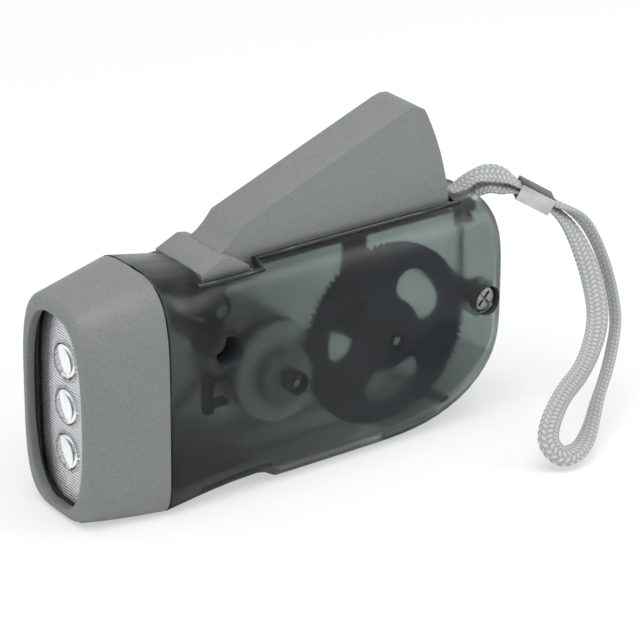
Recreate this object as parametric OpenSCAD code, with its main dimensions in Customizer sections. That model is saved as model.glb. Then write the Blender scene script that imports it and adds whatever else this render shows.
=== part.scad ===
// Hand-press dynamo lamp: smoked two-part case, grey head, grey press lever and wrist strap

/* [Case] */
// Length from the head's front to the rear end
body_length = 105; // [95:0.5:115]
// Width of the case at the seam behind the head
body_width = 30.5; // [30:0.25:33]
// Height of the case at the seam behind the head
seam_height = 51.4; // [51.2:0.1:52.6]
// Height of the roof beside the lever
roof_height = 49.5; // [49.3:0.1:50.6]
// Distance of the seam from the front
seam_d = 18.7; // [18:0.1:19]
// Thickness of the case walls
wall = 1.8; // [1.6:0.1:2]
// Height of the finger groove under the front
groove_rise = 1.9; // [1.5:0.1:2.4]

/* [Head] */
// Width of the head's front
front_width = 25.6; // [25:0.1:26.4]
// Height of the head's front
front_height = 47.4; // [47:0.1:48.4]
// Thickness of the head's walls
bezel_wall = 2; // [1.8:0.1:2.2]
// Width of the ring round the window
ring_width = 2.4; // [2.2:0.1:2.6]
// Distance between the light-emitting diodes
led_pitch = 10.1; // [9.8:0.1:10.4]

/* [Lever] */
// Width of the lever
lever_width = 11.4; // [10.8:0.1:11.6]
// Width of the lever's front tab
tab_width = 17; // [16:0.1:17.4]
// Thickness of the lever's walls
lever_wall = 1.6; // [1.4:0.1:1.8]
// Diameter of the lever pin
pin_diameter = 3; // [2.8:0.1:3.2]

/* [Gears] */
// Module of the sector and the drive pinion
sector_module = 0.8; // [0.8:0.01:0.81]
// Module of the main gear and the rotor pinion
gear_module = 0.5; // [0.49:0.01:0.5]
// Teeth of the main gear
gear_teeth = 80; // [78:1:80]
// Teeth of the rotor pinion
rotor_teeth = 24; // [22:1:24]
// Diameter of the gear axle
axle_diameter = 2; // [1.9:0.1:2.2]
// Diameter of the rotor shaft
shaft_diameter = 1.6; // [1.5:0.1:1.8]

/* [Strap] */
// Width of the strap's tape
tape_width = 5; // [4.6:0.1:5.2]
// Thickness of the strap's tape
tape_thickness = 1.9; // [1.6:0.1:1.9]
// Diameter of the bar that holds the strap
bar_diameter = 2; // [1.8:0.1:2.2]

/* [Hidden] */
$fn = 48;

// running clearance of shafts and pins
fit = 0.05;
// clearance of parts that pass each other
gap = 0.6;
// overlap that makes cuts clean
over = 0.2;

// case outline: distances from the front, heights from the floor
half_width = body_width / 2;
pivot_to_rear = 72.15;
pivot_d = body_length - pivot_to_rear;
slot_lead = 2.75;
slot_d = pivot_d - slot_lead;
groove_from_seam = 22.6;
groove_d = seam_d + groove_from_seam;
groove_fall = 2.7;
groove_end = 5.2;
heel_start_d = groove_d + groove_end;
rear_curve = 33;
heel_end_d = body_length - rear_curve;
heel_sink = 0.15;
rear_round = 3;
rear_taper = 0.6;
taper_lead = 12;
taper_d = heel_end_d - taper_lead;
rear_height = 26.4;
rear_power = 2.6;
front_power = 3.6;
seam_top_power = 3.6;
roof_power = 3;
seam_floor_power = 8.2;
heel_power = 7;
front_base = 0.1;
neck_d = 9;
neck_inset = bezel_wall + 0.1;
neck_wall = 1.5;
neck_step = 1.5;
section_steps = 22;

// lever and gear centres
sector_teeth = 108;
pinion_teeth = 11;
pivot_z = 41.8;
mesh_angle = -22;
mesh_distance = sector_module * (sector_teeth + pinion_teeth) / 2;
axle_d = pivot_d + mesh_distance * cos(mesh_angle);
axle_z = pivot_z + mesh_distance * sin(mesh_angle);
rotor_angle = 186.3;
rotor_distance = gear_module * (gear_teeth + rotor_teeth) / 2;
rotor_d = axle_d + rotor_distance * cos(rotor_angle);
rotor_z = axle_z + rotor_distance * sin(rotor_angle);
gear_radius = gear_module * gear_teeth / 2;
sector_radius = sector_module * sector_teeth / 2;
pinion_radius = sector_module * pinion_teeth / 2;
pressure_angle = 25;
addendum = 0.8;
dedendum = 1.05;
backlash = 0.09;

// places across the case
gear_y = [-9.3, -7.3];
rotor_gear_y = [-9.5, -7.1];
flywheel_y = [-6.8, -4.9];
pinion_y = [-5.9, -1.2];
ratchet_y = [-7, -5.9];
sector_y = [-4.1, -1.6];
magnet_y = [-0.4, 4.8];
stator_y = [-0.9, 11.4];
bobbin_y = [5.8, 10.6];
stator_radius = 10.8;

// screws: distance, height, floor of the counterbore
rear_screw_d = body_length - 4.7;
rear_screw_z = 27.8;
rear_floor_y = -11.4;
screw_from_seam = 14.4;
front_screw_d = seam_d + screw_from_seam;
front_screw_z = 33.7;
front_floor_y = -8.2;
screw_head_radius = 2.6;
screw_shank_radius = 1.2;
screw_bore_radius = 1.3;
counterbore_radius = 3.3;

// head stations
lamp_z = front_base + front_height / 2;
window_half = front_width / 2 - ring_width;
window_top = front_base + front_height - ring_width;
lip_d = 2.1;
seal_room = 0.1;
seal_d = lip_d + seal_room;
gasket_thickness = 0.6;
lens_d = seal_d + gasket_thickness;
lens_thickness = 1;
board_d = 13;
board_thickness = 1.6;

// strap bar and route in the standing frame, x from the front
bar_d = body_length - 2.6;
bar_z = 45.9;
notch_half = 3.4;
notch_d = body_length - 6.1;
notch_z = 42.1;

function px(d) = d - body_length / 2;
function curve_drop(d, r) = d > body_length - r ? r - sqrt(max(0, r * r - pow(d - body_length + r, 2))) : 0;
function width_at(d) = lookup(d, [[0, front_width / 2], [seam_d, half_width], [taper_d, half_width],
    [body_length, half_width - rear_taper]]) - curve_drop(d, rear_round);
function top_at(d) = lookup(d, [[0, front_base + front_height], [seam_d, seam_height], [slot_d, roof_height],
    [body_length, roof_height]]) - curve_drop(d, rear_round);
function rear_share(d) = min(1, (d - heel_end_d) / (body_length - heel_end_d));
function rear_rise(d) = rear_height * (1 - pow(1 - pow(rear_share(d), rear_power), 1 / rear_power));
groove_starts = [7.3, 14.3];
groove_stops = [[seam_d + groove_starts[0], 0.5], [seam_d + groove_starts[1], 0.9], [groove_d, 1],
    [groove_d + groove_fall, 0.7]];
groove_line = [for (g = groove_stops) [g[0], g[1] * groove_rise]];
function bottom_at(d) = d > heel_end_d ? rear_rise(d) - heel_sink
    : lookup(d, concat([[0, front_base], [seam_d, 0]], groove_line, [[heel_start_d, -heel_sink]]));
function top_power(d) = lookup(d, [[0, front_power], [seam_d, seam_top_power], [slot_d, roof_power]]);
function bottom_power(d) = lookup(d, [[0, front_power], [seam_d, seam_floor_power], [heel_start_d, heel_power]]);
function outline_point(t, w, top, bottom, n) =
    let (mid = (top + bottom) / 2, half = (top - bottom) / 2, c = cos(t), s = sin(t))
    [w * sign(c) * pow(abs(c), 2 / n), mid + half * sign(s) * pow(abs(s), 2 / n)];
function section_point(t, d, inset) = let (n = sin(t) >= 0 ? top_power(d) : bottom_power(d),
    p = outline_point(t, width_at(d) - inset, top_at(d) - inset, bottom_at(d) + inset, n)) [px(d), p[0], p[1]];
function half_section(d, inset) = [for (j = [0:section_steps]) section_point(90 + 180 * j / section_steps, d, inset)];
function skin_y(d, z) = let (mid = (top_at(d) + bottom_at(d)) / 2, half = (top_at(d) - bottom_at(d)) / 2,
    n = z > mid ? top_power(d) : bottom_power(d)) width_at(d) * pow(1 - pow(abs(z - mid) / half, n), 1 / n);

// places a drawing of x and z between two places across the case
module across(y) {
    translate([0, y[1], 0])
        rotate([90, 0, 0])
            linear_extrude(y[1] - y[0])
                children();
}

// a round bar across the case at a distance and height
module rod(d, z, r, y) {
    translate([px(d), y[1], z])
        rotate([90, 0, 0])
            cylinder(r = r, h = y[1] - y[0]);
}

// case halves
rear_in_d = body_length - 9;
neck_stops = [3.3, 7.3, 11.3, 16.3];
front_stops = concat([for (f = neck_stops) seam_d + f], [groove_d, groove_d + groove_fall, heel_start_d, taper_d,
    heel_end_d]);
rear_shares = [0.1, 0.2, 0.3, 0.4, 0.5, 0.59, 0.67, 0.75, 0.82, 0.87];
corner_shares = [1, 0.8, 0.6, 0.42, 0.28, 0.16, 0.07, 0.02, 0];
shell_stops = concat(front_stops, [for (f = rear_shares) heel_end_d + f * (body_length - heel_end_d)],
    [for (f = corner_shares) body_length - f * rear_round]);
outer_stops = concat([[neck_d, neck_inset], [seam_d, neck_inset], [seam_d, 0]], [for (d = shell_stops) [d, 0]]);
inner_stops = concat([[neck_d, neck_inset + neck_wall], [seam_d, neck_inset + neck_wall],
    [seam_d + neck_step, wall]], [for (d = shell_stops) [d <= rear_in_d ? d
    : rear_in_d + (d - rear_in_d) * (body_length - wall - rear_in_d) / (body_length - rear_in_d), wall]]);

function quad(a, b, c, d) = [[a, b, c], [a, c, d]];
module half_case() {
    n = len(outer_stops);
    m = section_steps + 1;
    outer = [for (s = outer_stops) each half_section(s[0], s[1])];
    inner = [for (s = inner_stops) each half_section(s[0], s[1])];
    skin = [for (i = [0:n - 2], j = [0:m - 2])
        each quad(i * m + j, (i + 1) * m + j, (i + 1) * m + j + 1, i * m + j + 1)];
    lining = [for (i = [0:n - 2], j = [0:m - 2])
        each quad((n + i) * m + j, (n + i) * m + j + 1, (n + i + 1) * m + j + 1, (n + i + 1) * m + j)];
    front = [for (j = [0:m - 2]) each quad(j, j + 1, n * m + j + 1, n * m + j)];
    roof_edge = [for (i = [0:n - 2]) each quad(i * m, (n + i) * m, (n + i + 1) * m, (i + 1) * m)];
    floor_edge = [for (i = [0:n - 2]) each quad((i + 1) * m - 1, (i + 2) * m - 1, (n + i + 2) * m - 1,
        (n + i + 1) * m - 1)];
    rear_edge = quad((n - 1) * m, (2 * n - 1) * m, 2 * n * m - 1, n * m - 1);
    rear_out = [[for (j = [0:m - 1]) (n - 1) * m + j]];
    rear_in = [[for (j = [m - 1:-1:0]) (2 * n - 1) * m + j]];
    polyhedron(concat(outer, inner), concat(skin, lining, front, roof_edge, floor_edge, rear_edge, rear_out,
        rear_in));
}

lever_reach = 63.4;
slot_floor_z = 43.7;
slot_tab = 11.35;
slot_step_d = pivot_d + slot_tab;
slot_rear_d = pivot_d + lever_reach + gap;
slot_height = 20;
module lever_slot() {
    translate([px(slot_d), -tab_width / 2 - gap, slot_floor_z])
        cube([slot_step_d - slot_d, tab_width + 2 * gap, slot_height]);
    translate([px(slot_step_d) - over, -lever_width / 2 - gap, slot_floor_z])
        cube([slot_rear_d - slot_step_d + over, lever_width + 2 * gap, slot_height]);
}

module strap_notch() {
    translate([px(notch_d), -notch_half, notch_z])
        cube([body_length, 2 * notch_half, slot_height]);
}

module floor_cut() {
    translate([-body_length, -body_width, -slot_height])
        cube([2 * body_length, 2 * body_width, slot_height]);
}

// a boss that starts inside the case wall and ends at a place across the case
boss_sink = 0.6;
function boss_base(d, z, r) = min(skin_y(d, z - r), skin_y(d, z + r), skin_y(d + r, z)) - wall * boss_sink;
module boss(d, z, r, end) {
    rod(d, z, r, [-boss_base(d, z, r), end]);
}

pivot_boss_radius = 3.3;
pivot_boss_end = -lever_width / 2 - gap;
axle_boss_radius = 2.4;
near_axle_end = gear_y[0] - 0.4;
near_shaft_end = rotor_gear_y[0] - 0.3;
front_boss_radius = 4.4;
front_boss_end = -6.6;
rear_boss_radius = 4.2;
rear_boss_end = -9.9;
far_boss_radius = 2.2;
seat = 0.1;
bore_end = -12.7;
post_radius = 1.5;
upper_post = [body_length - 6.7, 45.7, -6.8];
lower_post = [body_length - 14.6, 5.9, 0];
rib_sink = 1.25;
rib_reach = 3.85;
rib_y = [rib_sink - half_width, rib_reach - half_width];
rib_from_seam = 9.3;
rib_d = seam_d + rib_from_seam;
rib_z = 20.3;
rib_height = 9.1;
rib_thickness = 1.8;
rib_leg = 3.6;
rib_leg_thickness = 1.2;
rib_leg_inset = 1.2;
cheek_width = 2.2;
cheek_top = 47.3;
cheek_end_d = body_length - wall;

module strap_cheek() {
    translate([px(notch_d), -notch_half - cheek_width, notch_z])
        cube([cheek_end_d - notch_d, cheek_width, cheek_top - notch_z]);
}

module board_rib() {
    translate([px(rib_d), rib_y[0], rib_z])
        cube([rib_thickness, rib_y[1] - rib_y[0], rib_height]);
    for (z = [rib_leg_inset, rib_height - rib_leg_inset - rib_leg_thickness])
        translate([px(rib_d), rib_y[0], rib_z + z])
            cube([rib_thickness + rib_leg, rib_y[1] - rib_y[0], rib_leg_thickness]);
}

module left_shell() {
    color([0.27, 0.31, 0.31, 0.6]) difference() {
        union() {
            difference() {
                half_case();
                lever_slot();
                strap_notch();
                floor_cut();
            }
            boss(pivot_d, pivot_z, pivot_boss_radius, pivot_boss_end);
            boss(axle_d, axle_z, axle_boss_radius, near_axle_end);
            boss(rotor_d, rotor_z, axle_boss_radius, near_shaft_end);
            boss(front_screw_d, front_screw_z, front_boss_radius, front_boss_end);
            boss(rear_screw_d, rear_screw_z, rear_boss_radius, rear_boss_end);
            boss(upper_post[0], upper_post[1], post_radius, upper_post[2]);
            boss(lower_post[0], lower_post[1], post_radius, lower_post[2]);
            board_rib();
            strap_cheek();
        }
        rod(pivot_d, pivot_z, pin_diameter / 2 + fit, [bore_end, 0]);
        rod(axle_d, axle_z, axle_diameter / 2 + fit, [bore_end, 0]);
        rod(rotor_d, rotor_z, shaft_diameter / 2 + fit, [bore_end, 0]);
        rod(front_screw_d, front_screw_z, counterbore_radius, [-body_width, front_floor_y]);
        rod(front_screw_d, front_screw_z, screw_bore_radius, [front_floor_y - over, 0]);
        rod(rear_screw_d, rear_screw_z, counterbore_radius, [-body_width, rear_floor_y]);
        rod(rear_screw_d, rear_screw_z, screw_bore_radius, [rear_floor_y - over, 0]);
        rod(bar_d, bar_z, bar_diameter / 2 + fit, [-notch_half - cheek_width + seat, 0]);
    }
}

far_axle_end = 0;
far_shaft_end = -11.7;
shaft_bore_end = -13;
screw_tip_y = 6;
tip_room = 1;
module right_shell() {
    color([0.27, 0.31, 0.31, 0.6]) mirror([0, 1, 0]) difference() {
        union() {
            difference() {
                half_case();
                lever_slot();
                strap_notch();
                floor_cut();
            }
            boss(pivot_d, pivot_z, pivot_boss_radius, pivot_boss_end);
            boss(axle_d, axle_z, axle_boss_radius, far_axle_end);
            boss(rotor_d, rotor_z, axle_boss_radius, far_shaft_end);
            boss(front_screw_d, front_screw_z, far_boss_radius, -front_boss_end - seat);
            boss(rear_screw_d, rear_screw_z, far_boss_radius, -rear_boss_end - seat);
            boss(upper_post[0], upper_post[1], post_radius, upper_post[2]);
            boss(lower_post[0], lower_post[1], post_radius, -seat);
            strap_cheek();
        }
        rod(pivot_d, pivot_z, pin_diameter / 2 + fit, [bore_end, 0]);
        rod(axle_d, axle_z, axle_diameter / 2 + fit, [bore_end, over]);
        rod(rotor_d, rotor_z, shaft_diameter / 2 + fit, [shaft_bore_end, 0]);
        rod(front_screw_d, front_screw_z, screw_bore_radius, [-screw_tip_y - tip_room, body_width]);
        rod(rear_screw_d, rear_screw_z, screw_bore_radius, [-screw_tip_y - tip_room, body_width]);
        rod(bar_d, bar_z, bar_diameter / 2 + fit, [-notch_half - cheek_width + seat, 0]);
    }
}

// two cross-head screws
head_height = 1.6;
cross_width = 0.7;
cross_depth = 0.8;
module case_screw(d, z, floor_y) {
    difference() {
        union() {
            rod(d, z, screw_head_radius, [floor_y - head_height, floor_y]);
            rod(d, z, screw_shank_radius, [floor_y - over, screw_tip_y]);
        }
        for (a = [0, 90])
            translate([px(d), floor_y - head_height, z])
                rotate([0, a + 45, 0])
                    cube([cross_width, 2 * cross_depth, 1.5 * screw_head_radius], center = true);
    }
}
module case_screws() {
    color([0.8, 0.8, 0.8]) {
        case_screw(rear_screw_d, rear_screw_z, rear_floor_y);
        case_screw(front_screw_d, front_screw_z, front_floor_y);
    }
}

// head bezel: rings joined into one hollow sleeve
ring_steps = 56;
bezel_end_d = seam_d - 0.2;
sleeve_stops = [6, 12];
edge_steps = [[0, 1.5], [0.25, 0.85], [0.75, 0.3], [1.5, 0]];
window_power = 2.8;
function bezel_ring(d, inset) = [for (j = [0:ring_steps - 1]) section_point(360 * j / ring_steps, d, inset)];
function window_ring(d) = [for (j = [0:ring_steps - 1]) let (p = outline_point(360 * j / ring_steps, window_half,
    window_top, front_base + ring_width, window_power)) [px(d), p[0], p[1]]];
bezel_rings = concat([for (e = edge_steps) bezel_ring(e[0], e[1])], [for (d = concat(sleeve_stops, [bezel_end_d])) bezel_ring(d, 0)],
    [for (d = [bezel_end_d, sleeve_stops[1], sleeve_stops[0], lip_d]) bezel_ring(d, bezel_wall)], [window_ring(lip_d), window_ring(0)]);
module head_bezel() {
    n = len(bezel_rings);
    m = ring_steps;
    color([0.53, 0.54, 0.53]) polyhedron([for (r = bezel_rings) each r], [for (i = [0:n - 1], j = [0:m - 1])
        each quad(i * m + j, ((i + 1) % n) * m + j, ((i + 1) % n) * m + (j + 1) % m, i * m + (j + 1) % m)]);
}

// a plate in the head with the outline of the sleeve's inside at a distance, made smaller by an inset
module head_plate(d, depth, inset, d_outline) {
    translate([px(d), 0, 0])
        rotate([90, 0, 90])
            linear_extrude(depth)
                polygon([for (j = [0:ring_steps - 1]) let (p = section_point(360 * j / ring_steps, d_outline, inset))
                    [p[1], p[2]]]);
}
module lamp_places() {
    for (i = [-1:1])
        translate([0, 0, lamp_z + i * led_pitch])
            children();
}
module lamp_rod(d, depth, r1, r2) {
    translate([px(d), 0, 0])
        rotate([0, 90, 0])
            cylinder(r1 = r1, r2 = r2, h = depth);
}

lens_inset = bezel_wall + 0.15;
gasket_margin = 0.9;
dome_radius = 6.4;
dome_rise = 1.4;
module window_lens() {
    color([0.9, 0.95, 1, 0.4]) union() {
        head_plate(lens_d, lens_thickness, lens_inset, lip_d);
        lamp_places() intersection() {
            translate([px(lens_d) - dome_rise + dome_radius, 0, 0])
                sphere(r = dome_radius);
            translate([px(lens_d) - 2 * dome_rise, 0, 0])
                rotate([0, 90, 0])
                    cylinder(r = dome_radius, h = 2 * dome_rise + over);
        }
    }
}
module lens_gasket() {
    color([0.05, 0.05, 0.05]) difference() {
        head_plate(seal_d, gasket_thickness, lens_inset, lip_d);
        head_plate(seal_d - gasket_thickness, 3 * gasket_thickness, bezel_wall + gasket_margin, lip_d);
    }
}

reflector_d = lens_d + lens_thickness;
rim_depth = 2;
reflector_end_d = board_d - 0.1;
cup_radius = 4.7;
cup_depth = 6;
led_hole_radius = 2.7;
led_radius = 2.5;
led_tip_d = 7.6;
body_inset = 4.1;
module reflector() {
    color([0.85, 0.85, 0.87]) difference() {
        union() {
            head_plate(reflector_d, rim_depth, lens_inset, lip_d);
            head_plate(reflector_d, reflector_end_d - reflector_d, body_inset, neck_d);
        }
        lamp_places() {
            lamp_rod(reflector_d - over, cup_depth, cup_radius, led_hole_radius);
            lamp_rod(reflector_d, 2 * cup_depth, led_hole_radius, led_hole_radius);
        }
    }
}
module leds() {
    color([1, 0.98, 0.85]) lamp_places() {
        lamp_rod(led_tip_d + led_radius, board_d - led_tip_d - led_radius, led_radius, led_radius);
        translate([px(led_tip_d) + led_radius, 0, 0])
            sphere(r = led_radius);
    }
}
module led_board() {
    color([0.1, 0.35, 0.2])
        head_plate(board_d, board_thickness, body_inset, neck_d);
}
diode_radius = 1.2;
diode_length = 4.4;
diode_y = 4;
diode_step = 8;
module diodes() {
    color([0.1, 0.1, 0.1])
        for (y = [-diode_y, diode_y], z = [-diode_step, diode_step])
            translate([px(board_d) + board_thickness + diode_radius, y, lamp_z + z - diode_length / 2])
                cylinder(r = diode_radius, h = diode_length);
}

// sweeps: a tube through points, with a width direction at each point
function unit(v) = v / norm(v);
function along(p, i) = unit(p[min(i + 1, len(p) - 1)] - p[max(i - 1, 0)]);
function side_of(t, w) = unit(w - (w * t) * t);
function tube_ring(p, t, w, half_w, half_t, n) = let (s = side_of(t, w), u = cross(t, s))
    [for (k = [0:n - 1]) p + half_w * cos(360 * k / n) * s + half_t * sin(360 * k / n) * u];
module tube(p, w, half_w, half_t, n) {
    c = len(p);
    rings = [for (i = [0:c - 1]) each tube_ring(p[i], along(p, i), w[i], half_w, half_t[i], n)];
    sides = [for (i = [0:c - 2], k = [0:n - 1])
        each quad(i * n + k, (i + 1) * n + k, (i + 1) * n + (k + 1) % n, i * n + (k + 1) % n)];
    ends = [[for (k = [0:n - 1]) k], [for (k = [n - 1:-1:0]) (c - 1) * n + k]];
    polyhedron(rings, concat(sides, ends));
}
function glide(a, b, c, d, t) = 0.5 * (2 * b + (c - a) * t + (2 * a - 5 * b + 4 * c - d) * t * t
    + (3 * b - a - 3 * c + d) * t * t * t);
function smooth(p, k) = [for (i = [0:len(p) - 2], j = [0:k - 1])
    glide(p[max(i - 1, 0)], p[i], p[i + 1], p[min(i + 2, len(p) - 1)], j / k), p[len(p) - 1]];
function placed(p) = [for (q = p) [px(q[0]), q[1], q[2]]];

wire_radius = 0.55;
wire_sides = 8;
wire_start_room = 0.35;
wire_start_d = board_d + board_thickness + wire_start_room;
wire_end_room = 0.3;
wire_end_d = rotor_d - stator_radius - wire_end_room;
// shares of the way, places across and heights
wire_stops = [[0, 2, 14.7], [0.13, 2.6, 13.3], [0.37, 5.5, 11.2], [0.65, 8.5, 11.2], [0.9, 9.5, 13.7], [1, 9.5, 17.2]];
wire_route = [for (q = wire_stops) [wire_start_d + q[0] * (wire_end_d - wire_start_d), q[1], q[2]]];
wire_step = 2.2;
module lead_wires() {
    color([0.7, 0.1, 0.1]) for (k = [0, 1]) {
        route = smooth(placed([for (q = wire_route) q - [0, k * wire_step, 0]]), 3);
        tube(route, [for (q = route) [0, 0, 1]], wire_radius, [for (q = route) wire_radius], wire_sides);
    }
}

// toothed wheels with involute flanks
flank_steps = 3;
function inv(a) = tan(a) * 180 / PI - a;
function half_tooth(r, rp, n) = let (rb = rp * cos(pressure_angle)) 90 / n - backlash / 2 / rp * 180 / PI
    + inv(pressure_angle) - inv(acos(min(1, rb / r)));
function polar(r, a) = [r * cos(a), r * sin(a)];
function tooth(n, m, a) = let (rp = n * m / 2, ra = rp + addendum * m, rf = rp - dedendum * m,
    rs = max(rf, rp * cos(pressure_angle)),
    rise = [for (k = [0:flank_steps]) rs + (ra - rs) * k / flank_steps],
    fall = [for (k = [flank_steps:-1:0]) rs + (ra - rs) * k / flank_steps])
    concat(rs > rf ? [polar(rf, a - half_tooth(rs, rp, n))] : [], [for (r = rise) polar(r, a - half_tooth(r, rp, n))],
    [for (r = fall) polar(r, a + half_tooth(r, rp, n))], rs > rf ? [polar(rf, a + half_tooth(rs, rp, n))] : []);
module toothed_wheel(n, m, first) {
    polygon([for (i = [0:n - 1]) each tooth(n, m, first + 360 * i / n)]);
}
module pie(r, a, b) {
    polygon(concat([[0, 0]], [for (k = [0:6]) polar(r, a + (b - a) * k / 6)]));
}

// press lever, drawn at rest, distances from the pivot; positive turn presses it down
lever_base_z = 45.9;
lever_top = [[4.35, 51.3], [6.05, 52.3], [7.85, 53.9], [9.75, 56.1], [50.55, 71.8], [52.75, 72.4], [54.55, 72.2],
    [56.05, 71.3], [57.15, 70], [57.95, 68.1]];
lever_inside = [[6.55, 49.9], [10.05, 54.4], [51.05, 70.1], [53.35, 70.4], [54.75, 69.5], [55.75, 67.9]];
lever_rear = 67.15;
lever_back_z = 67.7;
tab_shape = [[-2.25, 46.6], [-2.25, 49], [3.05, 51.4], [5.15, 51], [7.55, 49.6], [9.65, 48.2], [9.65, 46.7],
    [3.15, 47.1]];
cheek_shape = [[-2.55, 43.9], [-2.05, 47.3], [9.15, 48.3], [9.15, 45.9], [3.35, 40.6]];
hub_radius = 3.7;
sector_low = -26;
sector_high = 7;
sector_inner = 37.5;
stem_shape = [[37.15, 44.7], [36.15, 67.7], [43.75, 69.7], [43.35, 44.7]];
sector_first = -1;
sector_last = 6;
function shifted(p) = [for (q = p) [px(pivot_d + q[0]), q[1]]];
module pivot_circle(r) {
    translate([px(pivot_d), pivot_z])
        circle(r = r, $fn = 2 * $fn);
}
module lever_outline() {
    intersection() {
        polygon(shifted(concat([[lever_top[0][0], lever_base_z]], lever_top, [[lever_rear, lever_back_z],
            [lever_rear, lever_base_z]])));
        pivot_circle(lever_reach);
    }
}
module lever_hollow() {
    intersection() {
        polygon(shifted(concat([[lever_inside[0][0], lever_base_z - over]], lever_inside,
            [[lever_rear, lever_back_z - lever_wall / 2], [lever_rear, lever_base_z - over]])));
        pivot_circle(lever_reach - lever_wall);
    }
}
module sector_web() {
    sector_root = sector_radius - dedendum * sector_module;
    intersection() {
        difference() {
            pivot_circle(sector_root + over / 2);
            pivot_circle(sector_inner);
        }
        translate([px(pivot_d), pivot_z])
            pie(2 * sector_radius, sector_low, sector_high);
    }
    intersection() {
        polygon(shifted(stem_shape));
        lever_outline();
    }
    for (i = [sector_first:sector_last])
        translate([px(pivot_d), pivot_z])
            polygon(tooth(sector_teeth, sector_module, mesh_angle + 360 * i / sector_teeth));
}
module press_lever() {
    lever_half = lever_width / 2;
    color([0.53, 0.54, 0.53]) difference() {
        union() {
            difference() {
                across([-lever_half, lever_half]) lever_outline();
                across([-lever_half + lever_wall, lever_half - lever_wall]) lever_hollow();
            }
            across([-tab_width / 2, tab_width / 2]) polygon(shifted(tab_shape));
            for (y = [[-lever_half, -lever_half + lever_wall], [lever_half - lever_wall, lever_half]])
                across(y) {
                    polygon(shifted(cheek_shape));
                    pivot_circle(hub_radius);
                }
            across(sector_y) sector_web();
        }
        rod(pivot_d, pivot_z, pin_diameter / 2 + fit, [-body_width, body_width]);
    }
}
pin_half = 12.5;
module lever_pin() {
    color([0.75, 0.75, 0.78])
        rod(pivot_d, pivot_z, pin_diameter / 2, [-pin_half, pin_half]);
}

// torsion spring: one unbroken wire of curls on the lever pin
spring_radius = 2.5;
spring_wire = 0.35;
spring_turns = 3;
spring_pitch = 1.6;
spring_rings = 8;
spring_sides = 6;
spring_leg = 5;
spring_short_leg = 3;
spring_y = -spring_turns * spring_pitch / 2;
function spring_point(k) = let (a = 360 * k / spring_rings)
    [px(pivot_d) + spring_radius * cos(a), spring_y + spring_pitch * k / spring_rings, pivot_z + spring_radius * sin(a)];
spring_curls = [for (k = [0:spring_turns * spring_rings]) spring_point(k)];
spring_path = concat([spring_curls[0] + [0, 0, -spring_leg]], spring_curls,
    [spring_curls[len(spring_curls) - 1] + [0, 0, spring_short_leg]]);
module return_spring() {
    color([0.7, 0.7, 0.72])
        tube(spring_path, [for (q = spring_path) [0, 1, 0]], spring_wire, [for (q = spring_path) spring_wire], spring_sides);
}

// gear train
ratchet_radius = 5.4;
ratchet_teeth = 12;
ratchet_depth = 0.8;
module drive_pinion() {
    color([0.85, 0.85, 0.8]) difference() {
        translate([px(axle_d), 0, axle_z]) {
            across(pinion_y)
                toothed_wheel(pinion_teeth, sector_module, mesh_angle + 180 + 180 / pinion_teeth);
            across(ratchet_y)
                polygon([for (i = [0:ratchet_teeth - 1]) each [polar(ratchet_radius, 360 * i / ratchet_teeth),
                    polar(ratchet_radius - ratchet_depth, 360 * i / ratchet_teeth + 3)]]);
        }
        rod(axle_d, axle_z, axle_diameter / 2 + fit, [-body_width, body_width]);
    }
}
hole_angles = [-80, 40, 160];
hole_span = 20;
hole_inner = 8.2;
hole_outer = 15.4;
hole_middle = (hole_inner + hole_outer) / 2;
hole_round = (hole_outer - hole_inner) / 2;
hole_steps = 6;
function hole_arc(r, a, b) = [for (k = [0:hole_steps]) polar(r, a + (b - a) * k / hole_steps)];
function hole_end(a, from) = [for (k = [1:hole_steps - 1])
    polar(hole_middle, a) + polar(hole_round, from + 180 * k / hole_steps)];
function gear_hole(a) = let (low = a - hole_span, high = a + hole_span)
    concat(hole_arc(hole_outer, low, high), hole_end(high, high), hole_arc(hole_inner, high, low),
    hole_end(low, low + 180));
module main_gear() {
    color([0.12, 0.12, 0.13]) difference() {
        translate([px(axle_d), 0, axle_z])
            across(gear_y) difference() {
                toothed_wheel(gear_teeth, gear_module, rotor_angle);
                for (a = hole_angles)
                    polygon(gear_hole(a));
            }
        rod(axle_d, axle_z, axle_diameter / 2 + fit, [-body_width, body_width]);
    }
}
axle_half = 12.5;
module gear_axle() {
    color([0.75, 0.75, 0.78])
        rod(axle_d, axle_z, axle_diameter / 2, [-axle_half, axle_half]);
}
module rotor_pinion() {
    color([0.85, 0.85, 0.8]) difference() {
        translate([px(rotor_d), 0, rotor_z])
            across(rotor_gear_y)
                toothed_wheel(rotor_teeth, gear_module, rotor_angle + 180 + 180 / rotor_teeth);
        rod(rotor_d, rotor_z, shaft_diameter / 2, [-body_width, body_width]);
    }
}
flywheel_radius = 10.8;
flywheel_rim = 8;
flywheel_recess = 0.6;
module flywheel() {
    color([0.6, 0.6, 0.62]) difference() {
        rod(rotor_d, rotor_z, flywheel_radius, flywheel_y);
        difference() {
            rod(rotor_d, rotor_z, flywheel_rim, [flywheel_y[0] - over, flywheel_y[0] + flywheel_recess]);
            rod(rotor_d, rotor_z, axle_boss_radius, [flywheel_y[0] - 1, flywheel_y[0] + 1]);
        }
        rod(rotor_d, rotor_z, shaft_diameter / 2, [-body_width, body_width]);
    }
}
magnet_radius = 6.6;
shaft_y = [-12.5, 12.8];
module ring_magnet() {
    color([0.2, 0.2, 0.22]) difference() {
        rod(rotor_d, rotor_z, magnet_radius, magnet_y);
        rod(rotor_d, rotor_z, shaft_diameter / 2, [-body_width, body_width]);
    }
}
module rotor_shaft() {
    color([0.75, 0.75, 0.78])
        rod(rotor_d, rotor_z, shaft_diameter / 2, shaft_y);
}
stator_wall = 0.8;
claw_inner = 7.3;
claw_count = 6;
claw_share = 18;
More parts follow.
